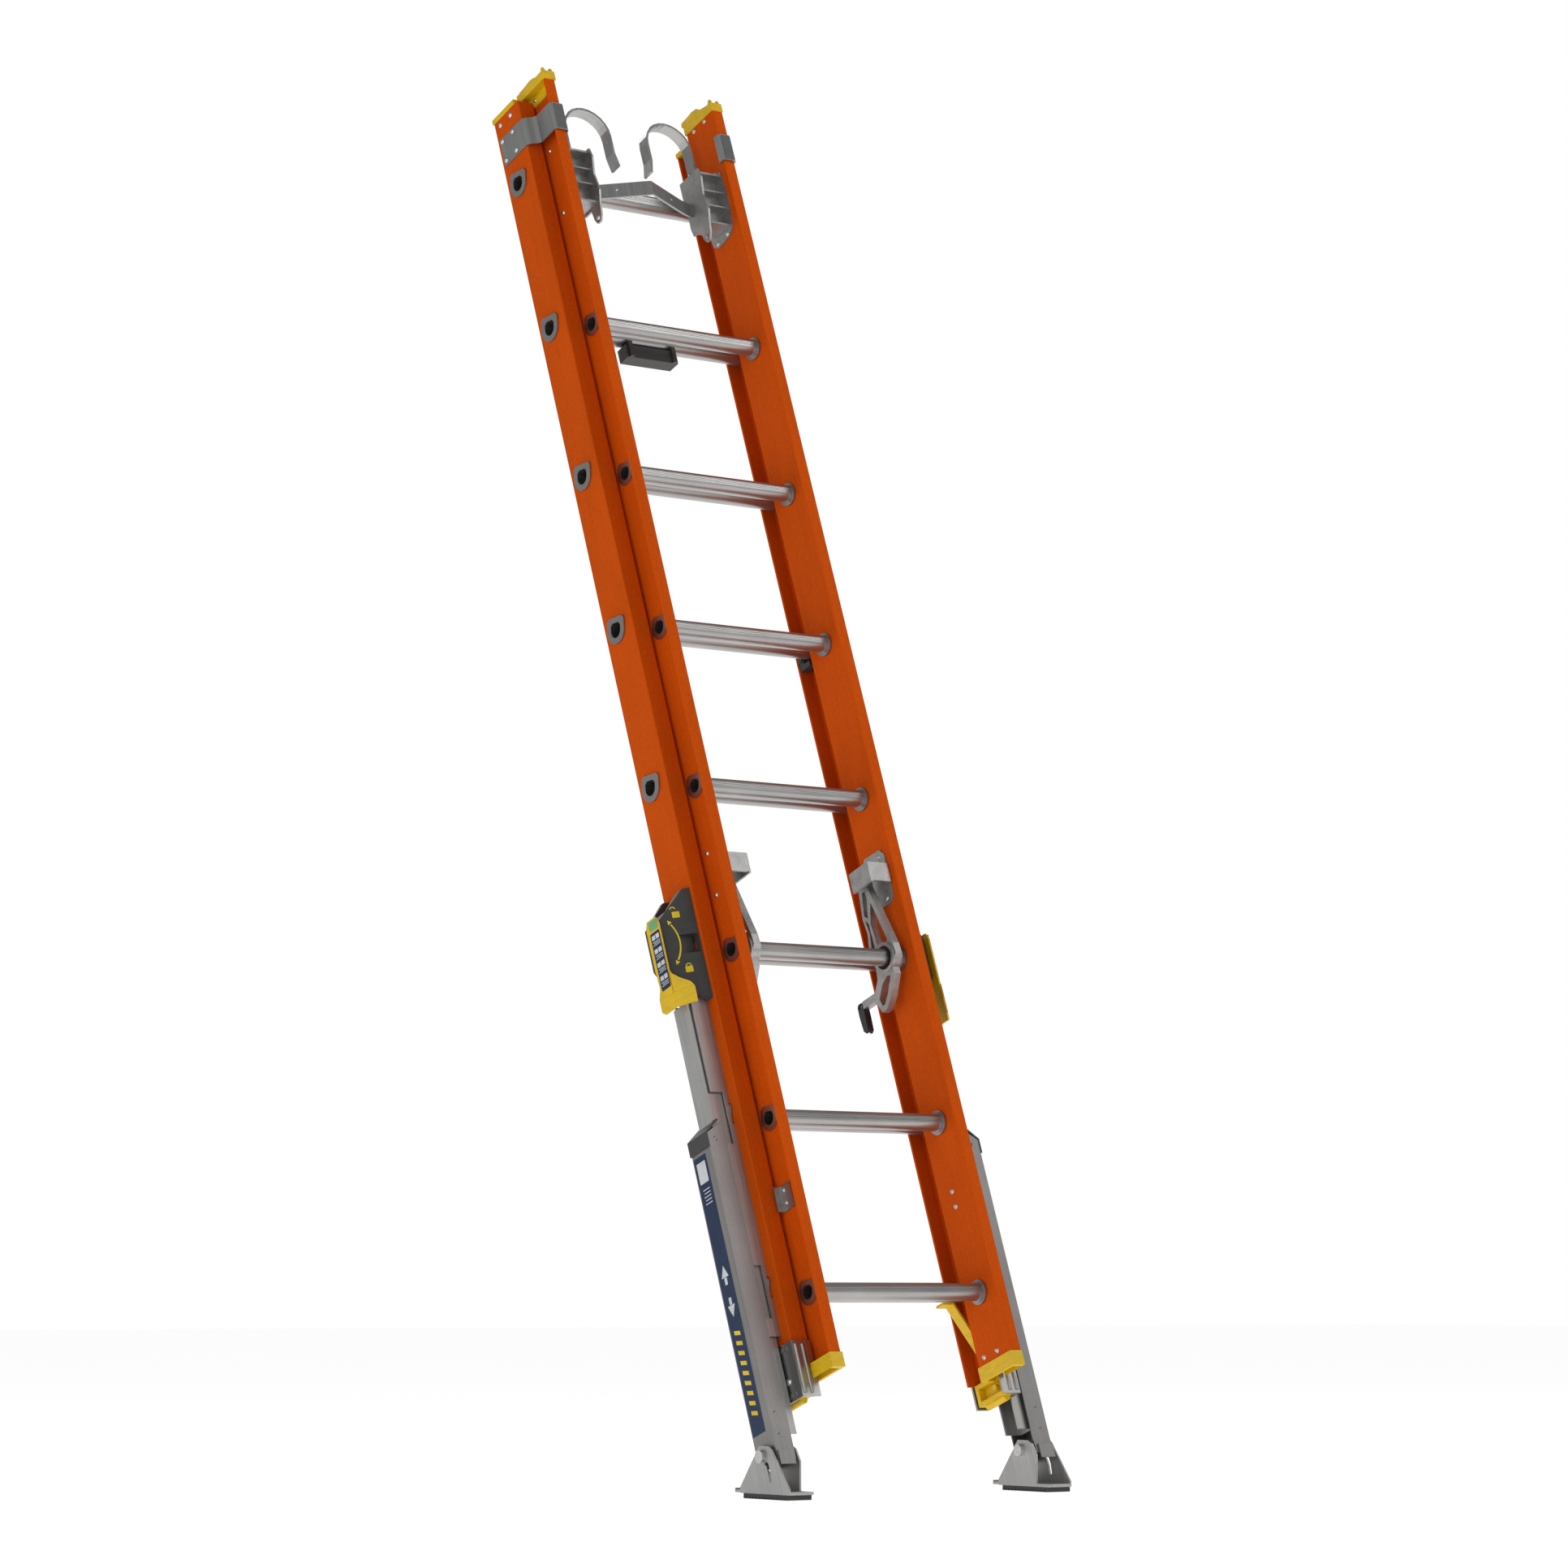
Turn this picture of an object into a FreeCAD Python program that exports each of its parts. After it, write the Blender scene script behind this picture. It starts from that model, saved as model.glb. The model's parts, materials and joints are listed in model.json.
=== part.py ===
import FreeCAD, Part
import math
import os
import Sketcher
from FreeCAD import Placement, Rotation, Vector

# Sixteen-foot extension ladder: a base section, a fly section that slides up in
# front of it, two levelling legs with swivel feet, rung locks and cable hooks.
# Everything is drawn upright in ladder axes (x across, v back, w up the rails)
# and then leaned back; the feet are drawn level.  Lengths in millimetres.

doc = FreeCAD.newDocument("extension_ladder")
sheet = doc.addObject("Spreadsheet::Sheet", "sizes")
rows = []


class Dim:
    """A size that carries its value and the spreadsheet expression for it."""

    def __init__(self, value, text):
        self.value = float(value)
        self.text = text

    def _join(self, other, sign, result, swap=False):
        right = text_of(other)
        pair = (right, self.text) if swap else (self.text, right)
        return Dim(result, "(%s %s %s)" % (pair[0], sign, pair[1]))

    def __add__(self, other):
        return self._join(other, "+", self.value + value_of(other))

    def __radd__(self, other):
        return self._join(other, "+", self.value + value_of(other), True)

    def __sub__(self, other):
        return self._join(other, "-", self.value - value_of(other))

    def __rsub__(self, other):
        return self._join(other, "-", value_of(other) - self.value, True)

    def __mul__(self, other):
        return self._join(other, "*", self.value * value_of(other))

    def __rmul__(self, other):
        return self._join(other, "*", self.value * value_of(other), True)

    def __neg__(self):
        return Dim(-self.value, "(0 - %s)" % self.text)


def value_of(item):
    return item.value if isinstance(item, Dim) else float(item)


def text_of(item):
    return item.text if isinstance(item, Dim) else "%.6g" % float(item)


def size(alias, number, note):
    """One named row of the size table."""
    rows.append(alias)
    sheet.set("A%d" % len(rows), note)
    sheet.set("B%d" % len(rows), "%.6g" % number)
    sheet.setAlias("B%d" % len(rows), alias)
    return Dim(number, "sizes." + alias)


LEAN = size("lean_angle", 20.5, "lean of the rails from upright, degrees")
SHIFT = size("shift_back", -507.88, "moves the drawing so its middle is at y = 0")
TREAD = size("tread_angle", 14.5, "tilt of the treads against the rails, degrees")
PITCH = size("rung_pitch", 304.8, "rung spacing")
RAIL_LENGTH = size("rail_length", 2438.4, "length of every rail")
WALL = size("rail_wall", 4.0, "rail wall")
EASE = size("corner_ease", 1.4, "eased outer corners of the rails")

BASE_OUT = size("base_rail_outer", 222.0, "outer face of the base rails from the middle")
BASE_LIP = size("base_rail_lip", 189.0, "edge of the base rail flanges")
BASE_DEPTH = size("base_rail_depth", 82.6, "depth of the base rails")
BASE_LOW = size("base_rail_bottom", 212.0, "bottom of the base rails")
BASE_RUNG_BACK = size("base_rung_back", 46.5, "base rung axis behind the rail front")
BASE_RUNG_LOW = size("base_rung_first", 367.5, "height of the first base rung")
BASE_RUNG_HALF = size("base_rung_half", 16.5, "half width of a base rung")
BASE_RUNG_TOP = size("base_rung_top", 15.5, "tread height above a base rung axis")
BASE_FLARE = size("base_flare_radius", 26.0, "swaged ring round a base rung end")

FLY_IN = size("fly_rail_inner", 176.0, "inner face of the fly rails from the middle")
FLY_LIP = size("fly_rail_lip", 198.0, "edge of the fly rail flanges")
FLY_FRONT = size("fly_rail_front", -61.5, "front face of the fly rails")
FLY_BACK = size("fly_rail_back", 27.0, "rear face of the fly rails")
FLY_LOW = size("fly_rail_bottom", 226.0, "bottom of the fly rails")
FLY_RUNG_BACK = size("fly_rung_back", -20.0, "fly rung axis against the base rail front")
FLY_RUNG_LOW = size("fly_rung_first", 343.3, "height of the first fly rung")
FLY_RUNG_HALF = size("fly_rung_half", 14.8, "half width of a fly rung")
FLY_RUNG_TOP = size("fly_rung_top", 13.6, "tread height above a fly rung axis")
FLY_FLARE = size("fly_flare_radius", 22.5, "swaged ring round a fly rung end")

RUNG_WALL = size("rung_wall", 2.4, "rung tube wall")
GUIDE_LOW = size("guide_bottom", 283.0, "bottom of the leg guide channel")
GUIDE_HIGH = size("guide_top", 880.0, "top of the leg guide channel")
GUIDE_OUT = size("guide_outer", 257.0, "outer edge of the leg guide channel")
LEG_LOW = size("leg_bottom", 76.0, "bottom of the leg channel")
LEG_HIGH = size("leg_top", 636.0, "top of the leg channel at its outer face")
LEG_IN = size("leg_inner", 249.0, "inner edge of the leg channel")
LEG_OUT = size("leg_outer", 285.0, "outer face of the leg channel")
BAR_OUT = size("bar_outer", 264.5, "outer face of the slide bar")
PIVOT_Y = size("pivot_depth", 79.0, "ankle bolt behind the rail foot line")
PIVOT_Z = size("pivot_height", 67.0, "ankle bolt above the floor")
BOLT = size("bolt_radius", 6.0, "ankle bolt radius")
BOLT_FIT = size("bolt_clearance", 0.06, "running clearance round the ankle bolt")
SHOE_IN = size("shoe_inner", 243.0, "inner face of a foot")
SHOE_OUT = size("shoe_outer", 292.0, "outer face of a foot")
LOCK_IN = size("lock_inner", 143.0, "inner face of a rung lock casting")
LOCK_OUT = size("lock_outer", 157.0, "outer face of a rung lock casting")
LOCK_FIT = size("lock_clearance", 0.4, "clearance of a rung lock round its rung")
V_PLATE = size("v_plate_inner", 119.0, "inner face of a v bracket plate")
doc.recompute()

BASE_WEB = BASE_OUT - WALL
FLY_WEB = FLY_IN + WALL
BASE_TOP = BASE_LOW + RAIL_LENGTH
FLY_TOP = FLY_LOW + RAIL_LENGTH
LEFT = -1
RIGHT = 1
SIDES = (("left", LEFT), ("right", RIGHT))
nodes = {}


def side_span(side, low, high):
    """The span low..high measured outward, as x limits on one side."""
    return (low, high) if side > 0 else (-1 * high, -1 * low)


def bind(item, prop, amount):
    if isinstance(amount, Dim):
        item.setExpression(prop, amount.text)


def new_body(name, level=False):
    """An empty body in the leaning (or level) ladder axes."""
    body = doc.addObject("PartDesign::Body", "body_" + name)
    body.Label = name
    body.AllowCompound = True
    turn = 0.0 if level else LEAN.value
    body.Placement = Placement(Vector(0, SHIFT.value, 0), Rotation(Vector(-1, 0, 0), turn))
    bind(body, "Placement.Base.y", SHIFT)
    if not level:
        bind(body, "Placement.Rotation.Angle", LEAN)
    nodes[name] = body
    return body


def origin_item(body, role):
    return [item for item in body.Origin.OriginFeatures if item.Role == role][0]


def finish(body, feature):
    body.Tip = feature
    return feature


def block(body, x, v, w, cut=False):
    """A box between limits on the three axes, added or cut away."""
    kind = "PartDesign::SubtractiveBox" if cut else "PartDesign::AdditiveBox"
    item = body.newObject(kind, "block")
    item.Refine = False
    for prop, span in (("Length", x), ("Width", v), ("Height", w)):
        extent = span[1] - span[0]
        setattr(item, prop, value_of(extent))
        bind(item, prop, extent)
    item.Placement = Placement(Vector(value_of(x[0]), value_of(v[0]), value_of(w[0])), Rotation())
    for prop, span in (("x", x), ("y", v), ("z", w)):
        bind(item, "Placement.Base." + prop, span[0])
    return finish(body, item)


TURNS = {
    "x": Rotation(Vector(0, 1, 0), 90),
    "v": Rotation(Vector(1, 0, 0), -90),
    "w": Rotation(),
}


def rod(body, axis, start, radius, length, cut=False, tip=None):
    """A round bar (or cone, given a tip radius) from a start point along one axis."""
    shape = "Cylinder" if tip is None else "Cone"
    kind = "PartDesign::%s%s" % ("Subtractive" if cut else "Additive", shape)
    item = body.newObject(kind, "rod")
    item.Refine = False
    if tip is None:
        item.Radius = value_of(radius)
        bind(item, "Radius", radius)
    else:
        item.Radius1 = value_of(radius)
        item.Radius2 = value_of(tip)
        bind(item, "Radius1", radius)
    item.Height = value_of(length)
    bind(item, "Height", length)
    item.Placement = Placement(Vector(*[value_of(part) for part in start]), TURNS[axis])
    for prop, part in zip("xyz", start):
        bind(item, "Placement.Base." + prop, part)
    return finish(body, item)


def rivet(body, side, x, v, w, outward=True, radius=5.0):
    """A shallow domed rivet head standing on a face across x."""
    facing = side if outward else -side
    height = 2.4
    if facing > 0:
        rod(body, "x", (side * x, v, w), radius, height, tip=radius * 0.55)
    else:
        rod(body, "x", (side * x - height, v, w), radius * 0.55, height, tip=radius)


def new_sketch(body, plane, shift, centre=(0, 0), spin=0.0):
    """A sketch on an origin plane, moved by centre in it and by shift off it."""
    sketch = body.newObject("Sketcher::SketchObject", "outline")
    sketch.AttachmentSupport = (origin_item(body, plane + "_Plane"), [""])
    sketch.MapMode = "FlatFace"
    base = Vector(value_of(centre[0]), value_of(centre[1]), value_of(shift))
    sketch.AttachmentOffset = Placement(base, Rotation(Vector(0, 0, 1), value_of(spin)))
    for prop, part in zip("xyz", (centre[0], centre[1], shift)):
        bind(sketch, "AttachmentOffset.Base." + prop, part)
    if isinstance(spin, Dim):
        sketch.setExpression("AttachmentOffset.Rotation.Angle", spin.text)
    return sketch


def hold(sketch, kind, geometry, point, amount):
    """Dimension one point from the sketch origin along x or y."""
    if abs(value_of(amount)) < 1e-9:
        sketch.addConstraint(Sketcher.Constraint("PointOnObject", geometry, point, -2 if kind == "X" else -1))
        return
    args = ("Distance" + kind, -1, 1, geometry, point, value_of(amount))
    index = sketch.addConstraint(Sketcher.Constraint(*args))
    if isinstance(amount, Dim):
        sketch.setExpression("Constraints[%d]" % index, amount.text)


def add_outline(sketch, points):
    """A closed outline of straight edges with every corner dimensioned."""
    corners = [Vector(value_of(a), value_of(b), 0) for a, b in points]
    first = sketch.GeometryCount
    count = len(corners)
    for index in range(count):
        sketch.addGeometry(Part.LineSegment(corners[index], corners[(index + 1) % count]), False)
    for index in range(count):
        before = first + (index - 1) % count
        sketch.addConstraint(Sketcher.Constraint("Coincident", before, 2, first + index, 1))
        hold(sketch, "X", first + index, 1, points[index][0])
        hold(sketch, "Y", first + index, 1, points[index][1])


def add_circle(sketch, a, b, radius):
    centre = Vector(value_of(a), value_of(b), 0)
    index = sketch.addGeometry(Part.Circle(centre, Vector(0, 0, 1), value_of(radius)), False)
    hold(sketch, "X", index, 3, a)
    hold(sketch, "Y", index, 3, b)
    number = sketch.addConstraint(Sketcher.Constraint("Radius", index, value_of(radius)))
    if isinstance(radius, Dim):
        sketch.setExpression("Constraints[%d]" % number, radius.text)


def add_rung_outline(sketch, half, top, ribs=False):
    """Rung section: flat ribbed tread, upright sides and a round underside."""
    corner = 5.5
    points = [(half, 0.0), (half, top - corner), (half - corner, top)]
    if ribs:
        reach = value_of(half) - corner
        count = 5
        for rib in range(count):
            middle = reach - (rib + 0.5) * 2 * reach / count
            points += [(middle + 1.1, top), (middle + 0.7, top - 1.0)]
            points += [(middle - 0.7, top - 1.0), (middle - 1.1, top)]
    points += [(corner - half, top), (-1 * half, top - corner)]
    if ribs:
        for height in (5.6, 2.9, 0.2):
            points += [(-1 * half, height + 1.9), (1.0 - half, height + 1.5)]
            points += [(1.0 - half, height + 0.9), (-1 * half, height + 0.5)]
    first = sketch.GeometryCount
    corners = [Vector(value_of(a), value_of(b), 0) for a, b in points]
    corners.append(Vector(-value_of(half), 0, 0))
    for index in range(len(points)):
        sketch.addGeometry(Part.LineSegment(corners[index], corners[index + 1]), False)
    circle = Part.Circle(Vector(0, 0, 0), Vector(0, 0, 1), value_of(half))
    arc = sketch.addGeometry(Part.ArcOfCircle(circle, math.pi, 2 * math.pi), False)
    last = first + len(points) - 1
    for index in range(first + 1, last + 1):
        sketch.addConstraint(Sketcher.Constraint("Coincident", index - 1, 2, index, 1))
        hold(sketch, "X", index, 1, points[index - first][0])
        hold(sketch, "Y", index, 1, points[index - first][1])
    hold(sketch, "X", first, 1, half)
    sketch.addConstraint(Sketcher.Constraint("Coincident", arc, 3, -1, 1))
    sketch.addConstraint(Sketcher.Constraint("PointOnObject", first, 1, -1))
    sketch.addConstraint(Sketcher.Constraint("Coincident", arc, 2, first, 1))
    sketch.addConstraint(Sketcher.Constraint("Coincident", last, 2, arc, 1))
    sketch.addConstraint(Sketcher.Constraint("PointOnObject", arc, 1, -1))


def sweep(body, sketch, length, cut=False):
    """Pad a sketch, or pocket it, along its own normal."""
    if cut:
        before = body.Tip.Shape.Volume
        item = body.newObject("PartDesign::Pocket", "pocket")
        item.Reversed = True
    else:
        item = body.newObject("PartDesign::Pad", "pad")
    item.Profile = sketch
    item.Type = 0
    item.Length = value_of(length)
    bind(item, "Length", length)
    finish(body, item)
    sketch.Visibility = False
    if cut:
        doc.recompute()
        if not item.Shape.Volume < before - 1e-3:
            raise RuntimeError("pocket in %s removed nothing" % body.Label)
    return item


def plate(body, plane, points, low, high, holes=(), cut=False):
    """A flat piece: an outline in one plane carried from low to high across it."""
    shift = -1 * high if plane == "XZ" else low
    if cut:
        doc.recompute()
    sketch = new_sketch(body, plane, shift)
    add_outline(sketch, points)
    for a, b, radius in holes:
        add_circle(sketch, a, b, radius)
    return sweep(body, sketch, high - low, cut)


def strip(path, thick):
    """Outline of a bent strip: a path of points given a thickness to its left."""
    offset = []
    for index, (a, b) in enumerate(path):
        before = path[max(index - 1, 0)]
        after = path[min(index + 1, len(path) - 1)]
        into = unit(a - before[0], b - before[1]) or unit(after[0] - a, after[1] - b)
        out = unit(after[0] - a, after[1] - b) or into
        middle = unit(into[0] + out[0], into[1] + out[1])
        scale = thick / (middle[0] * into[0] + middle[1] * into[1])
        offset.append((a - middle[1] * scale, b + middle[0] * scale))
    return list(path) + offset[::-1]


def unit(a, b):
    length = math.hypot(a, b)
    return (a / length, b / length) if length > 1e-9 else None


def across(side, points):
    """The same outline on either side: x reversed on the left."""
    return [(side * a, b) for a, b in points]


# ---------------------------------------------------------------- rails and rungs
def rung_holes(body, side, inner, back, first, half, top, count):
    """D-shaped rung holes repeated up one rail web."""
    low, high = side_span(side, inner - 2, inner + WALL + 2)
    doc.recompute()
    sketch = new_sketch(body, "YZ", low, (back, first), TREAD)
    add_rung_outline(sketch, half + 0.05, top + 0.05)
    pocket = sweep(body, sketch, high - low, cut=True)
    pattern = body.newObject("PartDesign::LinearPattern", "hole_row")
    pattern.Originals = [pocket]
    pattern.Direction = (origin_item(body, "Z_Axis"), [""])
    pattern.Length = PITCH.value * (count - 1)
    bind(pattern, "Length", PITCH * (count - 1))
    pattern.Occurrences = count
    finish(body, pattern)


def base_rail(name, side):
    body = new_body("base_rail_" + name)
    outline = [
        (BASE_OUT, EASE), (BASE_OUT, BASE_DEPTH - EASE), (BASE_OUT - EASE, BASE_DEPTH),
        (BASE_LIP, BASE_DEPTH), (BASE_LIP, BASE_DEPTH - WALL), (BASE_WEB - 2, BASE_DEPTH - WALL),
        (BASE_WEB, BASE_DEPTH - WALL - 2), (BASE_WEB, WALL + 2), (BASE_WEB - 2, WALL),
        (BASE_LIP, WALL), (BASE_LIP, 0), (BASE_OUT - EASE, 0),
    ]
    plate(body, "XY", across(side, outline), BASE_LOW, BASE_TOP)
    rung_holes(body, side, BASE_WEB, BASE_RUNG_BACK, BASE_RUNG_LOW, BASE_RUNG_HALF, BASE_RUNG_TOP, 8)


def fly_rail(name, side):
    body = new_body("fly_rail_" + name)
    outline = [
        (FLY_IN, FLY_FRONT + EASE), (FLY_IN + EASE, FLY_FRONT), (FLY_LIP, FLY_FRONT),
        (FLY_LIP, FLY_FRONT + WALL), (FLY_WEB + 2, FLY_FRONT + WALL), (FLY_WEB, FLY_FRONT + WALL + 2),
        (FLY_WEB, FLY_BACK - WALL - 2), (FLY_WEB + 2, FLY_BACK - WALL), (FLY_LIP, FLY_BACK - WALL),
        (FLY_LIP, FLY_BACK), (FLY_IN + EASE, FLY_BACK), (FLY_IN, FLY_BACK - EASE),
    ]
    plate(body, "XY", across(side, outline), FLY_LOW, FLY_TOP)
    rung_holes(body, side, FLY_IN, FLY_RUNG_BACK, FLY_RUNG_LOW, FLY_RUNG_HALF, FLY_RUNG_TOP, 7)


def rung(name, back, height, half, top, web_in, flare, ring_out, ring_in):
    """A hollow rung with a swaged ring each side of both rail webs."""
    body = new_body(name)
    web_out = web_in + WALL
    reach = web_out + ring_out
    place = (back, height)
    tube = new_sketch(body, "YZ", -1 * reach, place, TREAD)
    add_rung_outline(tube, half, top, ribs=True)
    add_rung_outline(tube, half - RUNG_WALL, top - RUNG_WALL)
    sweep(body, tube, 2 * reach)
    step = 3.5
    collars = (
        (web_in - ring_in, web_in, flare - 1.5), (-1 * web_in, ring_in - web_in, flare - 1.5),
        (web_in - ring_in - step, web_in - ring_in, flare - 4.5),
        (ring_in - web_in, ring_in + step - web_in, flare - 4.5),
    )
    for low, high, radius in collars:
        ring = new_sketch(body, "YZ", low, place, TREAD)
        add_circle(ring, 0, 0, radius)
        add_rung_outline(ring, half - RUNG_WALL, top - RUNG_WALL)
        sweep(body, ring, high - low)
    for low, high in ((web_out, reach), (-1 * reach, -1 * web_out)):
        ring = new_sketch(body, "YZ", low, place, TREAD)
        add_rung_outline(ring, flare - 1, flare - 3)
        add_rung_outline(ring, half - RUNG_WALL, top - RUNG_WALL)
        sweep(body, ring, high - low)


for name, side in SIDES:
    base_rail(name, side)
    fly_rail(name, side)
for index in range(8):
    rung("base_rung_%d" % (index + 1), BASE_RUNG_BACK, BASE_RUNG_LOW + PITCH * index,
         BASE_RUNG_HALF, BASE_RUNG_TOP, BASE_WEB, BASE_FLARE, 3.5, 6.0)
for index in range(7):
    rung("fly_rung_%d" % (index + 1), FLY_RUNG_BACK, FLY_RUNG_LOW + PITCH * index,
         FLY_RUNG_HALF, FLY_RUNG_TOP, FLY_IN, FLY_FLARE, 3.0, 5.0)


# ---------------------------------------------------------------- base section fittings
def base_top_caps():
    body = new_body("base_top_caps")
    rise = (BASE_TOP + 0.02, BASE_TOP + 9.5)
    for _, side in SIDES:
        block(body, side_span(side, 199.8, BASE_OUT + 1.5), (10.0, BASE_DEPTH + 1.5), rise)
        block(body, side_span(side, BASE_LIP - 1.5, 199.9), (60.0, BASE_DEPTH + 1.5), rise)


def top_guide(name, side):
    """Bracket on the base web that wraps forward round the fly rail."""
    body = new_body("top_guide_" + name)
    path = [
        (222.02, 73.0), (222.02, -1.0), (217.5, -6.5), (206.5, -10.5), (199.6, -17.5),
        (199.6, -61.5), (196.0, -64.6), (177.0, -64.6), (174.6, -62.4), (174.6, -51.0),
    ]
    plate(body, "XY", across(side, strip(path, 2.4)), BASE_TOP - 97, BASE_TOP - 41)


def foot_braces():
    """Strut from under the first rung to the foot of each base rail."""
    body = new_body("foot_braces")
    for _, side in SIDES:
        path = [(140.0, 346.5), (163.0, 346.5), (213.9, 246.0), (213.9, 214.0)]
        plate(body, "XZ", across(side, strip(path, -4.0)), BASE_RUNG_BACK - 10.5, BASE_RUNG_BACK + 9.5)
        foot = (BASE_RUNG_BACK - 14, BASE_RUNG_BACK + 13)
        block(body, side_span(side, 213.85, BASE_WEB - 0.02), foot, (216.0, 244.0))
        block(body, side_span(side, 200.5, 221), (5, 78), (BASE_LOW - 37, BASE_LOW - 0.05))
        block(body, side_span(side, 200, 214), (12, 70), (BASE_LOW - 30, BASE_LOW - 8), cut=True)
        rod(body, "v", (side * 211, 14.0, BASE_LOW - 39), 7.0, 52.0)
        rod(body, "x", (side * 204 - 4, 28.0, BASE_LOW - 19), 5.0, 8.0)


def rail_shields():
    """Moulded boot over the foot of each base rail with two front beads."""
    body = new_body("rail_shields")
    low = BASE_LOW - 40
    high = BASE_LOW + 55
    front = -4.5
    back = BASE_DEPTH + 4.0
    outline = [
        (200, front), (226, front), (226, back), (200, back), (200, BASE_DEPTH + 0.1),
        (BASE_OUT + 0.1, BASE_DEPTH + 0.1), (BASE_OUT + 0.1, -0.1), (200, -0.1),
    ]
    for _, side in SIDES:
        plate(body, "XY", across(side, outline), low, high)
        block(body, side_span(side, 189, 200.1), (front, front + 2.5), (low, high))
        for bead in (205.5, 219.5):
            rod(body, "w", (side * bead, front, low + 6), 3.2, 82.0)
        block(body, side_span(side, 225.9, 227.4), (10, 72), (low + 6, low + 12))
        block(body, side_span(side, 225.9, 227.4), (10, 72), (high - 12, high - 6))


def level_parts():
    """Spirit level hung under the seventh base rung."""
    holder = new_body("level_holder")
    top = BASE_RUNG_LOW + 6 * PITCH - 18
    span = (-74.0, 36.0)
    block(holder, span, (33.0, 60.0), (top - 27, top - 1))
    block(holder, (span[0] + 16, span[1] - 16), (46.0, 61.0), (top - 23, top - 5), cut=True)
    for low in (span[0] + 4, span[1] - 12):
        block(holder, (low, low + 8), (27.5, 33.2), (top - 27, top + 5))
    rod(holder, "x", (span[0] + 15, 53.0, top - 14), 6.8, 4.0)
    rod(holder, "x", (span[1] - 19, 53.0, top - 14), 6.8, 4.0)
    vial = new_body("level_vial")
    rod(vial, "x", (span[0] + 19.0, 53.0, top - 14), 5.8, span[1] - span[0] - 38)


def rung_bumper():
    body = new_body("rung_bumper")
    low = BASE_RUNG_LOW + 4 * PITCH - 28
    block(body, (190.0, 206.0), (64.0, 77.0), (low, low + 38))
    block(body, (190.0, 206.0), (49.0, 64.1), (low, low + 9.5))
    block(body, (205.9, BASE_WEB - 0.02), (71.5, 75.5), (low + 4, low + 26))
    rod(body, "x", (186.5, 70.5, low + 19), 5.0, 4.0)


def leg_guides():
    """Outward-facing channel riveted to each base rail for the slide bar."""
    body = new_body("leg_guides")
    front = 21.7
    back = 69.3
    outline = [
        (BASE_OUT + 0.02, front), (GUIDE_OUT, front), (GUIDE_OUT, front + 3), (225.0, front + 3),
        (225.0, back - 3), (GUIDE_OUT, back - 3), (GUIDE_OUT, back), (BASE_OUT + 0.02, back),
    ]
    for _, side in SIDES:
        plate(body, "XY", across(side, outline), GUIDE_LOW, GUIDE_HIGH)
    for _, side in SIDES:
        for index in (0, 1):
            height = BASE_RUNG_LOW + PITCH * index
            span = side_span(side, 232, 258)
            block(body, span, (front - 1, front + 4), (height - 54, height + 38), cut=True)
            start = 221.0 if side > 0 else -225.9
            rod(body, "x", (start, BASE_RUNG_BACK, height), BASE_FLARE + 5, 4.9, cut=True)


def loft(body, low, high, side, near, far):
    """A tapered block between two rectangles lying across x."""
    sketches = []
    for shift, ring in ((low, near), (high, far)):
        sketch = new_sketch(body, "YZ", side * shift)
        v_low, v_high, w_low, w_high = ring
        add_outline(sketch, [(v_low, w_low), (v_high, w_low), (v_high, w_high), (v_low, w_high)])
        sketches.append(sketch)
    item = body.newObject("PartDesign::AdditiveLoft", "taper")
    item.Profile = sketches[0]
    item.Sections = [sketches[1]]
    item.Ruled = True
    return finish(body, item)


def latch_housing(name, side):
    """Tapered housing over the top of the leg guide, hollow for the slide bar."""
    body = new_body("latch_housing_" + name)
    loft(body, BASE_OUT + 0.05, 236.0, side, (5, 76, 874, 1076), (8, 75, 878, 1074))
    loft(body, 236.0, 284.0, side, (8, 75, 878, 1074), (32, 70, 944, 1019))
    block(body, side_span(side, 221, 258), (20.6, 70.4), (870, 884), cut=True)
    block(body, side_span(side, 221, 268), (26.2, 66.5), (870, 1080), cut=True)
    start = 221.0 if side > 0 else -226.5
    rod(body, "x", (start, BASE_RUNG_BACK, BASE_RUNG_LOW + 2 * PITCH), BASE_FLARE + 5, 5.5, cut=True)
    block(body, side_span(side, 225, 258), (0, 20.0), (958, 992), cut=True)
    block(body, side_span(side, 279, 285), (37, 57), (1007.5, 1016.5), cut=True)


base_top_caps()
foot_braces()
rail_shields()
level_parts()
rung_bumper()
leg_guides()
for name, side in SIDES:
    top_guide(name, side)
    latch_housing(name, side)


def base_rivets():
    body = new_body("base_rivets")
    for _, side in SIDES:
        for v, w in ((66, 2604), (31, 2604), (66, 2564), (31, 2564)):
            rivet(body, side, 224.6, v, w)
        for v in (30, 65):
            rivet(body, side, BASE_OUT.value + 0.02, v, 2639)
        for v, w in ((24, 205), (62, 238)):
            rivet(body, side, 226.02, v, w, radius=6.0)
        for w in (480, 560, 790):
            rivet(body, side, 225.02, 45.0, w, radius=4.5)


base_rivets()


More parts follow.
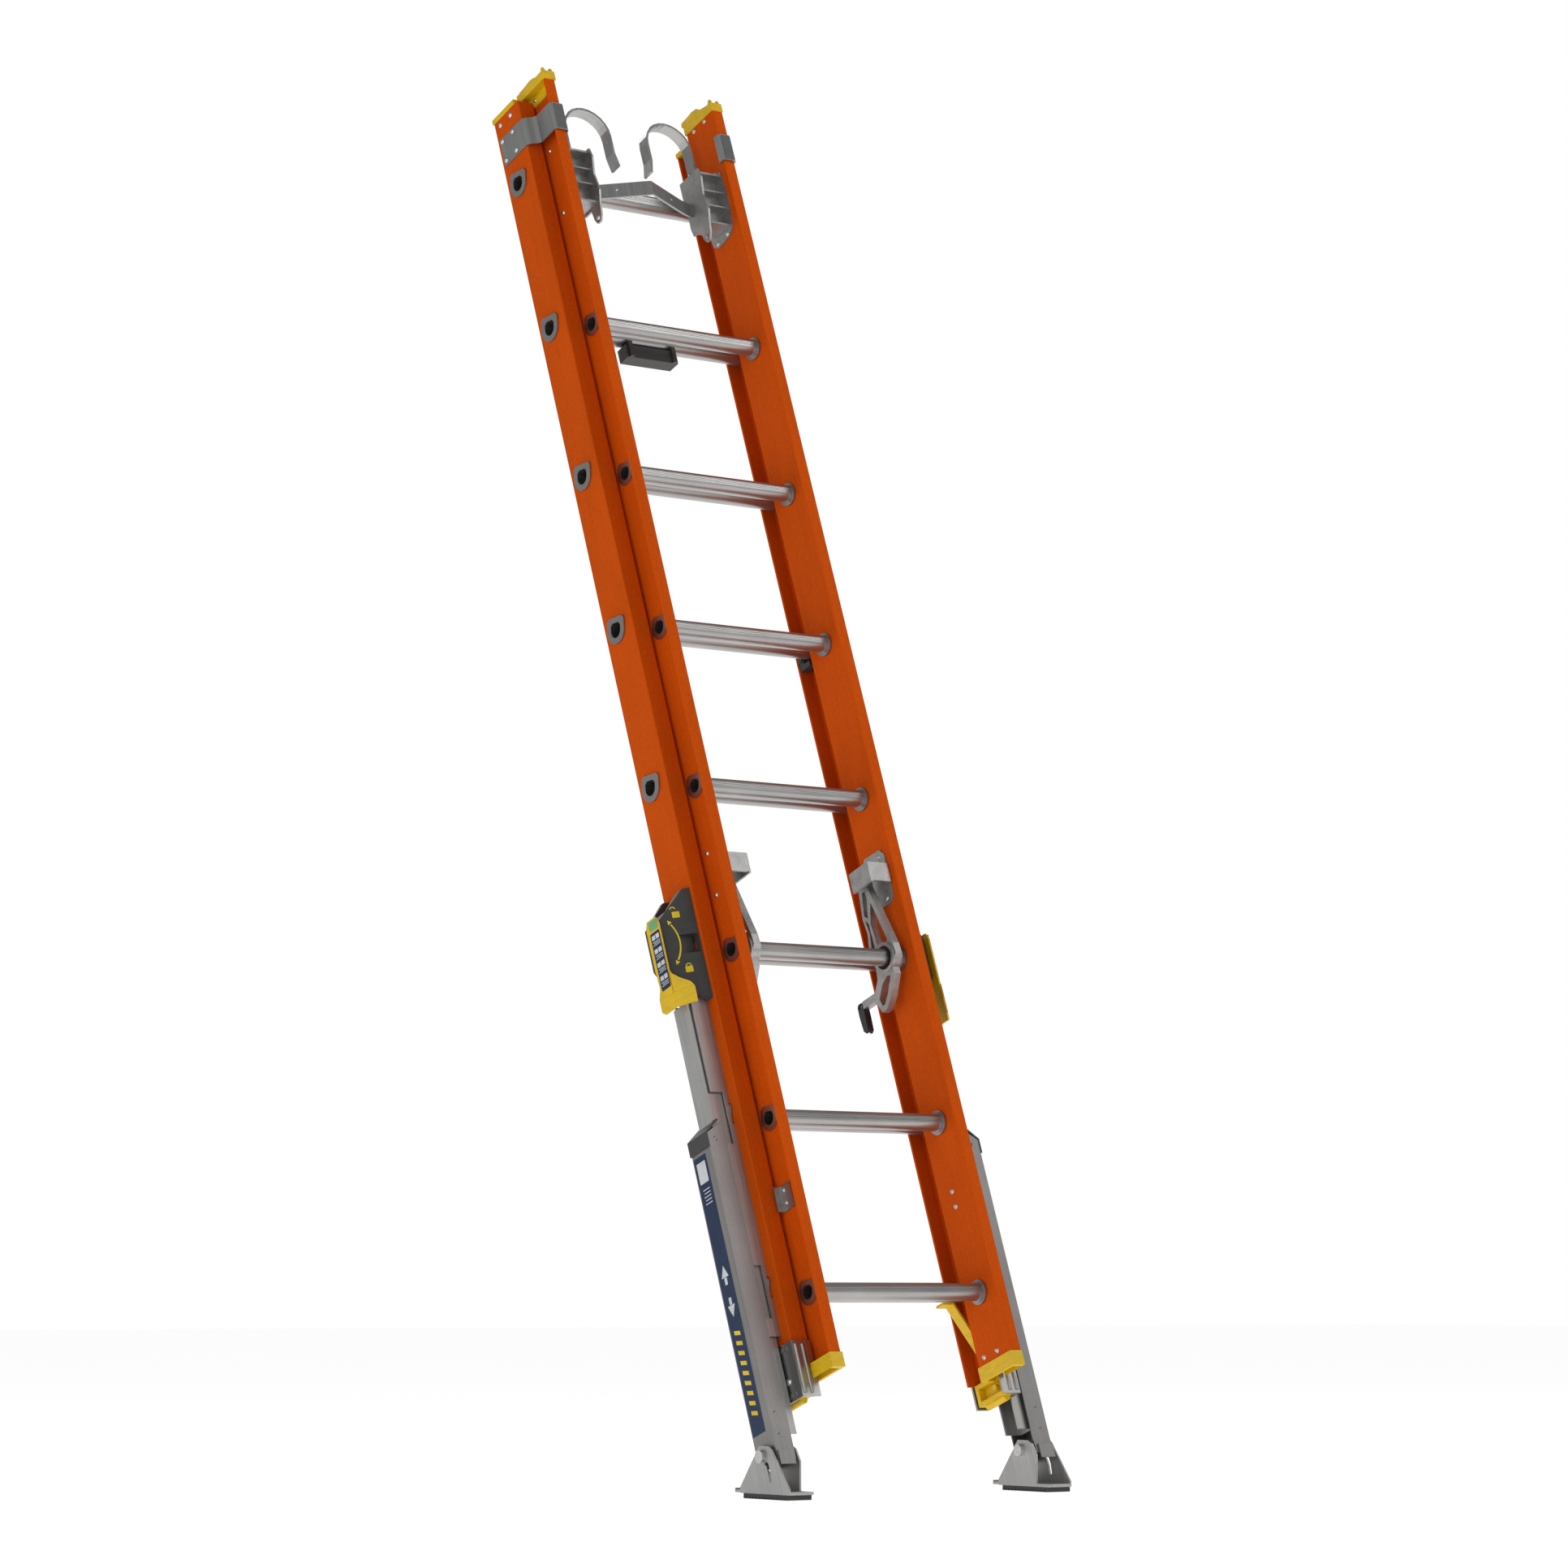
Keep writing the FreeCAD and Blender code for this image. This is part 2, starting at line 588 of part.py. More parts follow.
# ---------------------------------------------------------------- fly section fittings
def fly_top_caps():
    body = new_body("fly_top_caps")
    outline = [
        (-44, 2650), (-30, 2645), (6, 2645), (14, 2651), (20, 2663), (29, 2682), (40, 2691),
        (39, 2699), (20, 2700), (2, 2702), (-12, 2700), (-24, 2691), (-48, 2686), (-50, 2664),
    ]
    for _, side in SIDES:
        low, high = side_span(side, FLY_WEB + 0.02, FLY_WEB + 3.2)
        plate(body, "YZ", outline, low, high)
    for _, side in SIDES:
        outer = side_span(side, FLY_IN - 2, FLY_LIP + 1.5)
        block(body, outer, (FLY_FRONT - 1.5, FLY_BACK + 1.5), (FLY_TOP + 0.02, FLY_TOP + 17))
        for x in (178.5, 194.5):
            rod(body, "w", (side * x, FLY_FRONT + 4.5, FLY_TOP + 16.9), 5.0, 8.0, tip=3.0)


def fly_bottom_caps():
    body = new_body("fly_bottom_caps")
    for _, side in SIDES:
        outer = side_span(side, FLY_IN - 2, FLY_LIP + 1.2)
        block(body, outer, (FLY_FRONT - 1.2, FLY_BACK + 1.0), (FLY_LOW - 25, FLY_LOW - 0.02))
        hollow = (FLY_FRONT + 8, FLY_BACK - 8)
        block(body, side_span(side, 180, 199), hollow, (FLY_LOW - 26, FLY_LOW - 4), cut=True)
        block(body, side_span(side, 186.5, 200), (-6.5, 9.5), (FLY_LOW - 26, FLY_LOW + 1), cut=True)


def fly_guides():
    """Small brackets that hook the fly rails in front of the base rails."""
    body = new_body("fly_guides")
    for _, side in SIDES:
        path = [(180.02, -35.0), (180.02, -4.6), (195.0, -4.6)]
        plate(body, "XY", across(side, strip(path, -2.6)), 487, 531)


def v_bar():
    """Bent bar across the top that rests against a pole."""
    body = new_body("v_bar")
    height = FLY_RUNG_LOW + 7 * PITCH
    half = [(0.0, -52.0), (94.0, -11.0), (118.98, -3.0)]
    path = [(-a, b) for a, b in half[:0:-1]] + half
    plate(body, "XY", strip(path, 4.0), height - 21, height + 8)
    for x in (-60.0, 60.0):
        rod(body, "v", (x, -40.0, height - 6.5), 3.0, 30.0, cut=True)


def v_bracket(name, side):
    """Ribbed casting from the fly web that carries the v bar and a cable hook."""
    body = new_body("v_bracket_" + name)
    web = [
        (-46, 2424), (-30, 2408), (8, 2404), (21, 2414), (24, 2440), (18, 2526),
        (10, 2543), (-30, 2546), (-46, 2536), (-50, 2480),
    ]
    low, high = side_span(side, 172, 175.98)
    plate(body, "YZ", web, low, high)
    face = [
        (-52, 2446), (-46, 2424), (-42, 2400), (-36, 2388), (-26, 2388), (-20, 2398),
        (-16, 2420), (6, 2420), (10, 2438), (8, 2474), (12, 2506), (12, 2536), (-47, 2536),
        (-52, 2516), (-46, 2480),
    ]
    low, high = side_span(side, V_PLATE, V_PLATE + 4)
    plate(body, "YZ", face, low, high, holes=((-31, 2397, 4.5),))
    shelves = ((2528, 2532, -44, 8), (2494, 2497, -40, 6), (2462, 2465, -40, 4), (2424, 2428, -40, 4))
    for low_w, high_w, front, back in shelves:
        block(body, side_span(side, V_PLATE + 3.9, 172.1), (front, back), (low_w, high_w))
    block(body, side_span(side, V_PLATE + 3.9, 172.1), (-22, -18), (2427.9, 2528.1))
    rod(body, "w", (side * 140, -6.0, 2512), 9.0, 34.0)
    rod(body, "w", (side * 140, -6.0, 2505), 4.06, 50.0, cut=True)


def lock_guides():
    """Bracket on each fly web that the arm of the rung lock runs in."""
    body = new_body("lock_guides")
    for _, side in SIDES:
        web = [
            (-45, 1062), (-34, 1052), (4, 1054), (15, 1066), (15, 1140), (8, 1154),
            (-36, 1152), (-46, 1140),
        ]
        low, high = side_span(side, 172.5, 175.98)
        plate(body, "YZ", web, low, high)
        block(body, side_span(side, 130, 172.6), (-50, -46), (1086, 1119))
        block(body, side_span(side, 130, 172.6), (-50, 5), (1117.4, 1121))
        block(body, side_span(side, 128, 132), (-50, 5), (1084, 1121))


def fly_rivets():
    body = new_body("fly_rivets")
    for _, side in SIDES:
        for v, w in ((-31.5, 2659), (3.6, 2659), (-28, 238), (8, 239), (-11, 500), (-11, 527)):
            rivet(body, side, FLY_IN.value - 0.02, v, w, outward=False, radius=4.5)
        for v, w in ((-7, 2545), (-7, 2413), (-9, 1135), (-9, 1058)):
            rivet(body, side, FLY_WEB.value + 0.02, v, w, radius=4.5)
        rivet(body, side, FLY_WEB.value + 3.22, -2, 2656.5, radius=4.0)
        for v, w in ((-24, 2537), (4, 2537), (-26, 2415), (6, 2413)):
            rivet(body, side, 171.98, v, w, outward=False, radius=4.5)
        for v, w in ((8, 1140), (-30, 1140), (-28, 1064), (6, 1066)):
            rivet(body, side, 172.48, v, w, outward=False, radius=4.5)
        for w in (500, 522):
            rivet(body, side, 182.64, -16.0, w, radius=4.0)


fly_top_caps()
fly_bottom_caps()
fly_guides()
v_bar()
lock_guides()
fly_rivets()
for name, side in SIDES:
    v_bracket(name, side)


# ---------------------------------------------------------------- moving fittings
def arc_points(a, b, radius, start, stop, steps):
    """Points round a circle from start to stop degrees."""
    angles = [math.radians(start + (stop - start) * index / steps) for index in range(steps + 1)]
    return [(a + radius * math.cos(angle), b + radius * math.sin(angle)) for angle in angles]


def cable_hook(name, side):
    """Wide strap hook standing in the bracket boss, stowed pointing inward."""
    body = new_body("cable_hook_" + name)
    path = [(142.5, 2546.5), (142.5, 2584.0)]
    path += arc_points(91.0, 2596.0, 51.5, 0, 180, 12)[1:]
    path += [(39.5, 2560.0), (34.0, 2532.0)]
    plate(body, "XZ", across(side, strip(path, 4.5)), -18.0, 6.0)
    rod(body, "w", (side * 140, -6.0, 2510), 4.0, 40.0)
    rod(body, "w", (side * 140, -6.0, 2546.1), 8.0, 5.0)


def rung_lock(name, side):
    """Casting that swings on the third fly rung and hooks a base rung."""
    body = new_body("rung_lock_" + name)
    low, high = side_span(side, LOCK_IN, LOCK_OUT)
    middle = FLY_RUNG_LOW + 2 * PITCH
    upper = [
        (-40, 938), (-51, 950), (-49, 970), (-17, 1090), (-18, 1108), (-6, 1116), (6, 1108),
        (8, 1092), (14, 1040), (10, 1010), (18, 975), (18, 966), (8, 942),
    ]
    plate(body, "YZ", upper, low, high)
    hook = [
        (-34, 940), (-36, 918), (-12, 884), (6, 868), (20, 868), (26.0, 884), (27.3, 894.4),
        (66, 894.4), (66, 907.6), (27, 907.6), (12, 926), (10, 944),
    ]
    plate(body, "YZ", hook, low, high)
    windows = (
        [(-38, 978), (-10, 978), (-4, 1024), (-16, 1060)],
        [(0, 981), (9, 981), (4, 1008), (8, 1036), (1, 1026)],
        [(-9, 1068), (0, 1036), (8, 1044), (0, 1084), (-8, 1084)],
        [(-24, 918), (-4, 890), (8, 878), (15, 878), (19, 892), (2, 914), (-16, 922)],
    )
    for window in windows:
        plate(body, "YZ", window, low - 1, high + 1, cut=True)
    rod(body, "x", (low - 3, FLY_RUNG_BACK, middle), 27.0, high - low + 6)
    doc.recompute()
    hole = new_sketch(body, "YZ", low - 5, (FLY_RUNG_BACK, middle))
    add_circle(hole, 0, 0, 20.6)
    sweep(body, hole, high - low + 10, cut=True)
    rod(body, "x", (low + 3, 74.0, 901.0), 4.0, high - low - 6)
    block(body, (low + 4.5, high - 4.5), (65.9, 74.0), (896.0, 906.0))


def lock_flipper(name, side):
    """Small flap hung on the tip of the rung lock."""
    body = new_body("lock_flipper_" + name)
    low, high = side_span(side, LOCK_IN + 0.5, LOCK_OUT - 0.5)
    flap = [
        (67.6, 903), (70, 907.4), (78, 907.4), (82, 903), (82.5, 886), (80, 858),
        (74, 852), (68, 856), (67, 886),
    ]
    for start, stop in ((low, low + 3.5), (high - 3.5, high)):
        plate(body, "YZ", flap, start, stop, holes=((74, 901, 4.05),))
    block(body, (low + 3.4, high - 3.4), (68.5, 80.0), (860.0, 884.0))


def release_lever(name, side):
    """Paddle on the outer face of the housing, hinged across its top."""
    body = new_body("release_lever_" + name)
    outline = [
        (22, 1016), (28, 1028), (52, 1028), (58, 1016), (57, 944), (54, 908), (62, 890), (62, 867),
        (54, 861), (22, 861),
    ]
    low, high = side_span(side, 286.5, 290.0)
    plate(body, "YZ", outline, low, high)
    wing = [(287.0, 31.0), (287.0, 21.5), (263.0, -6.0)]
    plate(body, "XY", across(side, strip(wing, 2.8)), 861, 889)
    block(body, side_span(side, 283.0, 286.6), (41, 53), (1010, 1014))
    rod(body, "v", (side * 283.0, 39.0, 1012.0), 2.4, 16.0)


def leg_parts(name, side):
    """Leg channel, slide bar, top cap and ankle bolt of one levelling leg."""
    front = 18.4
    back = 72.6
    channel = new_body("leg_channel_" + name)
    outline = [
        (LEG_IN, front), (LEG_OUT, front), (LEG_OUT, back), (LEG_IN, back), (LEG_IN, back - 2.5),
        (LEG_OUT - 3, back - 2.5), (LEG_OUT - 3, front + 2.5), (LEG_IN, front + 2.5),
    ]
    plate(channel, "XY", across(side, outline), LEG_LOW, LEG_HIGH + 24)
    slope = [
        (LEG_OUT + 2, LEG_HIGH - 2), (LEG_OUT + 2, LEG_HIGH + 40),
        (LEG_IN - 2, LEG_HIGH + 40), (LEG_IN - 2, LEG_HIGH + 24),
    ]
    plate(channel, "XZ", across(side, slope), front - 2, back + 2, cut=True)
    pivot_v, pivot_w = ankle_point()
    start = side * 280 if side > 0 else -287.0
    rod(channel, "x", (start, pivot_v, pivot_w), BOLT + BOLT_FIT, 7.0, cut=True)
    block(channel, side_span(side, 254, 284), (14.0, front + 0.1), (72, 90))
    block(channel, side_span(side, 254, 284), (14.0, 17.0), (66, 73))
    for height in (115.0, 152.0, 625.0):
        rod(channel, "v", (side * 271.0, front - 1.8, height), 2.6, 1.9, tip=4.2)

    bar = new_body("slide_bar_" + name)
    outline = [
        (230, 27), (BAR_OUT, 27), (BAR_OUT, 64), (230, 64), (230, 61),
        (BAR_OUT - 3, 61), (BAR_OUT - 3, 30), (230, 30),
    ]
    plate(bar, "XY", across(side, outline), 120, 872)
    block(bar, side_span(side, 229, 242), (60, 65), (712, 728), cut=True)
    for low in (150, 580):
        block(bar, side_span(side, BAR_OUT - 0.1, LEG_OUT - 3.02), (32, 59), (low, low + 45))

    cap = new_body("leg_cap_" + name)
    path = [(LEG_OUT.value + 0.05, 612.0), (LEG_OUT.value + 0.05, 635.8), (258.0, 658.6)]
    plate(cap, "XZ", across(side, strip(path, -3.2)), front - 0.6, back + 0.6)
    block(cap, side_span(side, 256, BAR_OUT + 0.2), (26.6, 64.4), (640, 676), cut=True)

    bolt = new_body("pivot_bolt_" + name)
    low, high = side_span(side, SHOE_IN - 7, SHOE_OUT + 6)
    rod(bolt, "x", (low, pivot_v, pivot_w), BOLT, high - low)
    inner = side_span(side, SHOE_IN - 7, SHOE_IN - 0.15)
    outer = side_span(side, SHOE_OUT + 0.15, SHOE_OUT + 6)
    rod(bolt, "x", (inner[0], pivot_v, pivot_w), 10.0, inner[1] - inner[0])
    rod(bolt, "x", (outer[0], pivot_v, pivot_w), 10.5, outer[1] - outer[0])


def ankle_point():
    """The ankle bolt in ladder axes, from its place above the floor."""
    cosine = Dim(math.cos(math.radians(LEAN.value)), "cos(%s)" % LEAN.text)
    sine = Dim(math.sin(math.radians(LEAN.value)), "sin(%s)" % LEAN.text)
    return PIVOT_Y * cosine - PIVOT_Z * sine, PIVOT_Y * sine + PIVOT_Z * cosine


def foot_parts(name, side):
    """Swivel shoe with two cheeks, and its ribbed pad; both drawn level."""
    shoe = new_body("shoe_" + name, level=True)
    cheek = [
        (5.3, 16.7), (53.8, 79), (60, 84), (86, 84), (92, 76), (136.7, 17.6), (136.7, 12), (5.3, 12),
    ]
    inner_cheek = [(38, 12), (38, 60), (50, 79), (60, 84), (86, 84), (92, 76), (136.7, 17.6), (136.7, 12)]
    hole = ((PIVOT_Y, PIVOT_Z, BOLT + BOLT_FIT),)
    low, high = side_span(side, SHOE_OUT - 3.5, SHOE_OUT)
    plate(shoe, "YZ", cheek, low, high, holes=hole)
    low, high = side_span(side, SHOE_IN, SHOE_IN + 3.5)
    plate(shoe, "YZ", inner_cheek, low, high, holes=hole)
    block(shoe, side_span(side, SHOE_IN, SHOE_OUT), (5.3, 136.7), (8.02, 13.0))
    block(shoe, side_span(side, SHOE_IN + 6, SHOE_OUT - 6), (136.6, 159.0), (8.5, 13.0))
    for low_y in (138.0, 157.5):
        block(shoe, side_span(side, SHOE_IN + 6, SHOE_OUT - 6), (low_y, low_y + 1.5), (12.9, 15.4))
    slot = [
        (72.5, 56.0), (66.0, 52.0), (61.0, 42.0), (57.8, 27.0), (51.8, 27.5), (55.0, 44.0),
        (61.0, 57.0), (69.5, 61.5),
    ]
    low, high = side_span(side, SHOE_OUT - 5, SHOE_OUT + 1)
    plate(shoe, "YZ", slot, low, high, cut=True)

    pad = new_body("pad_" + name, level=True)
    block(pad, side_span(side, SHOE_IN + 0.5, SHOE_OUT + 0.5), (10.0, 127.0), (3.0, 8.0))
    count = 13
    for index in range(count):
        low_y = 10.0 + index * (117.0 - 5.0) / (count - 1)
        block(pad, side_span(side, SHOE_IN + 0.5, SHOE_OUT + 0.5), (low_y, low_y + 5.0), (0.0, 3.1))


for name, side in SIDES:
    cable_hook(name, side)
    rung_lock(name, side)
    lock_flipper(name, side)
    release_lever(name, side)
    leg_parts(name, side)
    foot_parts(name, side)

# ---------------------------------------------------------------- checks and export
doc.recompute()
faults = []
for item in doc.Objects:
    if "Invalid" in item.State or "Error" in item.State:
        faults.append("%s %s %s" % (item.Name, item.State, item.getStatusString()))
for label, body in nodes.items():
    if body.Shape.isNull() or not body.Shape.isValid() or not body.Shape.Solids:
        faults.append("bad shape " + label)
if faults:
    raise RuntimeError("; ".join(faults[:20]))
os.makedirs("parts", exist_ok=True)
whole = FreeCAD.BoundBox()
for label, body in nodes.items():
    body.Shape.exportStep("parts/%s.step" % label)
    whole.add(body.Shape.BoundBox)
print("nodes", len(nodes))
limits = (whole.XMin, whole.XMax, whole.YMin, whole.YMax, whole.ZMin, whole.ZMax)
print("box", [round(limit, 2) for limit in limits])
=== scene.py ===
import json
import math

import bmesh
import bpy
from mathutils import Matrix, Vector


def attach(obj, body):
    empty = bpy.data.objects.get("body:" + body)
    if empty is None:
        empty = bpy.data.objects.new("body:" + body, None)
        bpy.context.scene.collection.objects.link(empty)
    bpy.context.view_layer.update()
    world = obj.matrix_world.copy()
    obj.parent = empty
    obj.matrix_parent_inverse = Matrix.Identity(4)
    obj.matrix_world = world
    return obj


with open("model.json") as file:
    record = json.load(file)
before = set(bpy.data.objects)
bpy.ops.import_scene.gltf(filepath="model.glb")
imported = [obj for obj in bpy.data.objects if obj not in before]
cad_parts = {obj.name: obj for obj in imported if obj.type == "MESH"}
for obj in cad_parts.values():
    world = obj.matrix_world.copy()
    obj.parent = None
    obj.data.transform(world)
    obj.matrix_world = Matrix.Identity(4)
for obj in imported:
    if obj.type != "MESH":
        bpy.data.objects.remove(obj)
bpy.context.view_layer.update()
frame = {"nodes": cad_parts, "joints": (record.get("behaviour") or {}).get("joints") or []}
nodes = frame["nodes"]

# ------------------------------------------------------------ ladder axes
# x across, v back from the base rails' front, w up the rails; metres.
UP = Vector([j for j in frame["joints"] if j["name"] == "fly_slide"][0]["axis"]).normalized()
BACK = Vector((0, UP.z, -UP.y))
RAIL_FRONT = min(vert.co.dot(BACK) for vert in nodes["base_rail_left"].data.vertices)
SHIFT_Y = RAIL_FRONT / BACK.y
LEAN = math.atan2(UP.y, UP.z)
TO_FRAME = Matrix.Translation((0, SHIFT_Y, 0)) @ Matrix.Rotation(-LEAN, 4, "X")
TO_LADDER = TO_FRAME.inverted()


def span(node):
    """Lowest and highest x, v, w of a CAD node in ladder axes."""
    points = [TO_LADDER @ vert.co for vert in nodes[node].data.vertices]
    low = Vector([min(p[i] for p in points) for i in range(3)])
    high = Vector([max(p[i] for p in points) for i in range(3)])
    return low, high


# ------------------------------------------------------------ materials
COAT_ROUGH = 0.18
RAMP_ENDS = (0.35, 0.65)
# the colour sockets of a Mix node: its two inputs and its result
MIX_A, MIX_B, MIX_RESULT = 6, 7, 2


class Shade:
    """Small helper that wires one procedural material."""

    def __init__(self, name, color, rough, metal=0.0, coat=0.0, specular=0.5):
        self.material = bpy.data.materials.new(name)
        self.material.use_nodes = True
        self.tree = self.material.node_tree
        self.bsdf = self.tree.nodes["Principled BSDF"]
        self.bsdf.inputs["Base Color"].default_value = (*color, 1)
        self.bsdf.inputs["Roughness"].default_value = rough
        self.bsdf.inputs["Metallic"].default_value = metal
        self.bsdf.inputs["Specular IOR Level"].default_value = specular
        self.bsdf.inputs["Coat Weight"].default_value = coat
        self.bsdf.inputs["Coat Roughness"].default_value = COAT_ROUGH
        self.color = color
        self.height = None
        coords = self.add("ShaderNodeTexCoord")
        turn = self.add("ShaderNodeMapping", vector_type="POINT")
        turn.inputs["Rotation"].default_value = (LEAN, 0, 0)
        self.link(coords.outputs["Object"], turn.inputs["Vector"])
        self.axes = turn.outputs["Vector"]

    def add(self, kind, **settings):
        node = self.tree.nodes.new(kind)
        for key, setting in settings.items():
            setattr(node, key, setting)
        return node

    def link(self, out, into):
        self.tree.links.new(out, into)

    def noise(self, stretch, detail=4.0, rough=0.55):
        """Noise with its own scale along x, v and w (cycles per metre)."""
        scale = self.add("ShaderNodeMapping", vector_type="POINT")
        scale.inputs["Scale"].default_value = stretch
        self.link(self.axes, scale.inputs["Vector"])
        node = self.add("ShaderNodeTexNoise")
        node.inputs["Scale"].default_value = 1.0
        node.inputs["Detail"].default_value = detail
        node.inputs["Roughness"].default_value = rough
        self.link(scale.outputs["Vector"], node.inputs["Vector"])
        return node.outputs["Fac"]

    def ramp(self, fac, low, high):
        """Colour that goes from low to high with a factor."""
        node = self.add("ShaderNodeValToRGB")
        for stop, position, color in zip(node.color_ramp.elements, RAMP_ENDS, (low, high)):
            stop.position = position
            stop.color = (*color, 1)
        self.link(fac, node.inputs["Fac"])
        return node.outputs["Color"]

    def multiply(self, a, b):
        node = self.add("ShaderNodeMix", data_type="RGBA", blend_type="MULTIPLY")
        node.inputs["Factor"].default_value = 1.0
        self.link(a, node.inputs[MIX_A])
        self.link(b, node.inputs[MIX_B])
        return node.outputs[MIX_RESULT]

    def vary_color(self, first, *layers):
        """Multiply the base colour by each (factor, dark, light) grey layer."""
        fac, dark, light = first
        out = self.ramp(fac, scaled(self.color, dark), scaled(self.color, light))
        for fac, dark, light in layers:
            out = self.multiply(out, self.ramp(fac, (dark,) * 3, (light,) * 3))
        self.link(out, self.bsdf.inputs["Base Color"])

    def vary_rough(self, fac, low, high):
        """Roughness that goes from low to high with a factor."""
        node = self.add("ShaderNodeMapRange")
        node.inputs["To Min"].default_value = low
        node.inputs["To Max"].default_value = high
        self.link(fac, node.inputs["Value"])
        self.link(node.outputs["Result"], self.bsdf.inputs["Roughness"])

    def bump(self, fac, strength, distance):
        """Relief from a factor, added to the relief already there; distance in metres."""
        node = self.add("ShaderNodeBump")
        node.inputs["Strength"].default_value = strength
        node.inputs["Distance"].default_value = distance
        self.link(fac, node.inputs["Height"])
        if self.height is not None:
            self.link(self.height, node.inputs["Normal"])
        self.height = node.outputs["Normal"]
        self.link(self.height, self.bsdf.inputs["Normal"])


def scaled(color, amount):
    """A colour made darker or lighter, with no part above 1."""
    return tuple(min(1.0, part * amount) for part in color)


def fibreglass(name, color):
    """Pultruded orange rail: veil grain, faint lengthwise rovings, low gloss."""
    shade = Shade(name, color, 0.6, specular=0.04)
    veil = shade.noise((520, 520, 260), detail=5)
    roving = shade.noise((300, 300, 5), detail=3)
    cloud = shade.noise((14, 14, 5), detail=2)
    shade.vary_color((veil, 0.9, 1.1), (roving, 0.93, 1.0), (cloud, 0.92, 1.0))
    shade.vary_rough(veil, 0.54, 0.7)
    shade.bump(veil, 0.22, 0.0004)
    shade.bump(roving, 0.15, 0.0003)
    return shade.material


def metal(name, color, rough, streak, depth=0.15):
    """Extruded or rolled metal: streaks along one axis over a fine grain."""
    shade = Shade(name, color, rough, metal=1.0)
    lines = shade.noise(streak, detail=5, rough=0.65)
    fine = shade.noise((600, 600, 600), detail=2)
    cloud = shade.noise((9, 9, 9), detail=3)
    shade.vary_color((lines, 0.84, 1.1), (fine, 0.93, 1.0), (cloud, 0.88, 1.0))
    shade.vary_rough(lines, rough * 0.8, rough * 1.3)
    shade.bump(lines, depth, 0.0003)
    shade.bump(fine, depth * 0.6, 0.0002)
    return shade.material


def casting(name, color, rough):
    """Sand-cast aluminium: pebbly bump, cloudy tone."""
    shade = Shade(name, color, rough, metal=0.9)
    pebble = shade.noise((420, 420, 420), detail=4, rough=0.7)
    cloud = shade.noise((38, 38, 38), detail=3)
    shade.vary_color((pebble, 0.8, 1.12), (cloud, 0.74, 1.0))
    shade.vary_rough(cloud, rough * 0.85, rough * 1.25)
    shade.bump(pebble, 0.45, 0.0006)
    return shade.material


def moulded(name, color, rough, grain=900):
    """Moulded plastic or rubber: spark-eroded grain and slight scuffing."""
    shade = Shade(name, color, rough)
    fine = shade.noise((grain, grain, grain), detail=3)
    scuff = shade.noise((40, 40, 160), detail=5, rough=0.7)
    shade.vary_color((scuff, 0.88, 1.1), (fine, 0.9, 1.0))
    shade.vary_rough(scuff, rough * 0.85, rough * 1.2)
    shade.bump(fine, 0.3, 0.0003)
    return shade.material


def printed(name, color):
    """Printed film: even ink with a faint orange peel under a thin clear coat."""
    shade = Shade(name, color, 0.45, coat=0.08, specular=0.25)
    peel = shade.noise((250, 250, 250), detail=2)
    dust = shade.noise((60, 60, 30), detail=4)
    shade.vary_color((dust, 0.9, 1.08), (peel, 0.95, 1.0))
    shade.bump(peel, 0.1, 0.0002)
    return shade.material


def tinted_glass(name, color):
    """Clear tinted liquid in its tube, a little uneven."""
    shade = Shade(name, color, 0.06, coat=0.6)
    shade.bsdf.inputs["Transmission Weight"].default_value = 0.55
    shade.bsdf.inputs["IOR"].default_value = 1.47
    wave = shade.noise((90, 90, 90), detail=2)
    shade.vary_color((wave, 0.9, 1.1))
    return shade.material


# The base and fly rails are one orange fibreglass. The base copy is a little darker and the fly copy a
# little lighter, as painted shade and painted light.
ORANGE_SHADED_COPY = fibreglass("fibreglass_orange_shaded_copy", (0.63, 0.085, 0.003))
ORANGE_LIT_COPY = fibreglass("fibreglass_orange_fly_lit_copy", (0.66, 0.088, 0.003))
RUNG = metal("rung_aluminium", (0.45, 0.44, 0.43), 0.34, (6, 700, 700), depth=0.2)
LEG = metal("leg_aluminium", (0.33, 0.32, 0.315), 0.5, (420, 420, 7))
CHANNEL = metal("channel_aluminium", (0.52, 0.52, 0.51), 0.5, (420, 420, 7))
BRIGHT = metal("bright_aluminium", (0.46, 0.46, 0.455), 0.38, (500, 500, 8))
STRAP = metal("hook_steel", (0.47, 0.47, 0.46), 0.28, (30, 500, 30), depth=0.2)
ZINC = metal("rivet_zinc", (0.66, 0.66, 0.65), 0.34, (200, 200, 200))
CAST = casting("cast_aluminium", (0.5, 0.5, 0.49), 0.42)
YELLOW = moulded("yellow_plastic", (0.76, 0.49, 0.0), 0.5)
CHARCOAL = moulded("charcoal_plastic", (0.045, 0.045, 0.044), 0.5)
GREY_PAD = moulded("guide_pad_grey", (0.12, 0.12, 0.12), 0.55)
FLIPPER = casting("flipper_dark", (0.09, 0.09, 0.09), 0.5)
RUBBER = moulded("pad_rubber", (0.04, 0.04, 0.042), 0.7, grain=500)
VIAL = tinted_glass("vial_liquid", (0.5, 0.75, 0.1))
NAVY = printed("navy_film", (0.01, 0.026, 0.075))
WHITE = printed("white_ink", (0.62, 0.64, 0.66))
GREEN = printed("green_ink", (0.16, 0.42, 0.2))
YELLOW_INK = printed("yellow_ink", (0.75, 0.55, 0.02))

